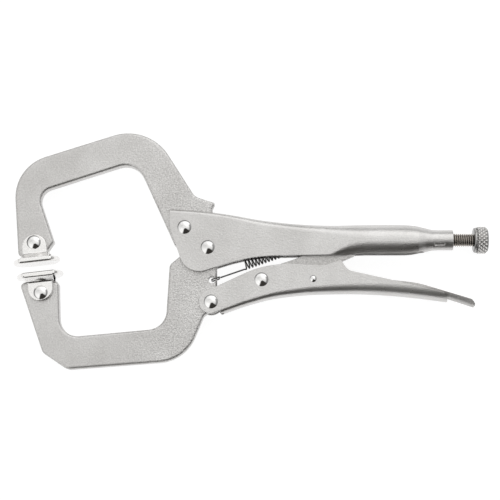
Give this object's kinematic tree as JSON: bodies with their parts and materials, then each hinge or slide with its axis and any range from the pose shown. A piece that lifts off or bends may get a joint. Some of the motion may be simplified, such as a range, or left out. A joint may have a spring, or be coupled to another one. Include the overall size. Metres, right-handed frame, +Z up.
{
  "type": "locking c-clamp pliers",
  "caption": "Locking C-clamp pliers with swivel pads, an over-centre toggle grip, a release lever and a knurled adjusting screw.",
  "frame": {"origin": "middle of the tool's outline in plan, on the flat surface that it lies on", "axes": "the tool lies on its side: +X from the pads to the adjusting knob, +Y from the lower grip to the upper handle, +Z up through its thickness"},
  "size_m": [0.2793, 0.1402, 0.02],
  "materials": {
    "jaw_steel": "forged steel, satin nickel plate with a fine blasted grain",
    "handle_steel": "pressed sheet steel, satin nickel plate with a fine blasted grain",
    "link_steel": "pressed steel, darker satin plate",
    "pad_steel": "bright nickel plate",
    "rivet_steel": "polished rivet heads",
    "screw_steel": "rolled thread, oiled steel",
    "knob_steel": "diamond-knurled plated steel",
    "spring_steel": "dark drawn spring wire"
  },
  "bodies": {
    "root": {"fixed_handle": "handle_steel", "upper_jaw": "jaw_steel", "front_jaw_rivet": "rivet_steel", "jaw_pivot_rivet": "rivet_steel", "tension_spring": "spring_steel"},
    "moving_jaw": {"lower_jaw": "jaw_steel"},
    "grip": {"lower_handle": "handle_steel", "lever_rivet": "rivet_steel", "link_rivet": "rivet_steel", "release_pin": "rivet_steel"},
    "toggle": {"toggle_link": "link_steel"},
    "release": {"release_lever": "link_steel"},
    "upper_swivel": {"upper_pad": "pad_steel", "upper_pad_rivet": "rivet_steel"},
    "lower_swivel": {"lower_pad": "pad_steel", "lower_pad_rivet": "rivet_steel"},
    "screw_slide": {"screw_tip": "screw_steel"},
    "screw_rod": {"adjusting_screw": "screw_steel", "knurled_knob": "knob_steel"}
  },
  "joints": [
    {"name": "jaw_open", "type": "hinge", "parent": "root", "child": "moving_jaw", "pos_m": [-0.0248, 0.0013, 0.01], "axis": [0, 0, 1], "range_deg": [0, 22], "deforming": ["tension_spring"]},
    {"name": "grip_swing", "type": "hinge", "parent": "moving_jaw", "child": "grip", "pos_m": [-0.0228, -0.0308, 0.01], "axis": [0, 0, 1], "range_deg": [-62.2, 0]},
    {"name": "link_swing", "type": "hinge", "parent": "grip", "child": "toggle", "pos_m": [0.0067, -0.0178, 0.01], "axis": [0, 0, 1], "range_deg": [0, 62.7]},
    {"name": "release_press", "type": "hinge", "parent": "grip", "child": "release", "pos_m": [0.0369, -0.0174, 0.01], "axis": [0, 0, 1], "range_deg": [0, 9]},
    {"name": "upper_pad_swivel", "type": "hinge", "parent": "root", "child": "upper_swivel", "pos_m": [-0.1268, 0.0041, 0.01], "axis": [0, 0, 1], "range_deg": [-12, 12]},
    {"name": "lower_pad_swivel", "type": "hinge", "parent": "moving_jaw", "child": "lower_swivel", "pos_m": [-0.1222, -0.0254, 0.01], "axis": [0, 0, 1], "range_deg": [-12, 10]},
    {"name": "screw_travel", "type": "slide", "parent": "root", "child": "screw_slide", "axis": [1, 0, 0], "range_m": [-0.00125, 0.015]},
    {"name": "knob_turn", "type": "hinge", "parent": "screw_slide", "child": "screw_rod", "pos_m": [0.1, 0.0062, 0.01], "axis": [1, 0, 0], "range_deg": [-361, 4321]}
  ],
  "couplings": [
    {"joint": "grip_swing", "follows": "jaw_open", "ratio": -2.8215},
    {"joint": "link_swing", "follows": "jaw_open", "ratio": 2.8445},
    {"joint": "knob_turn", "follows": "screw_travel", "rad_per_m": 5026.5}
  ]
}
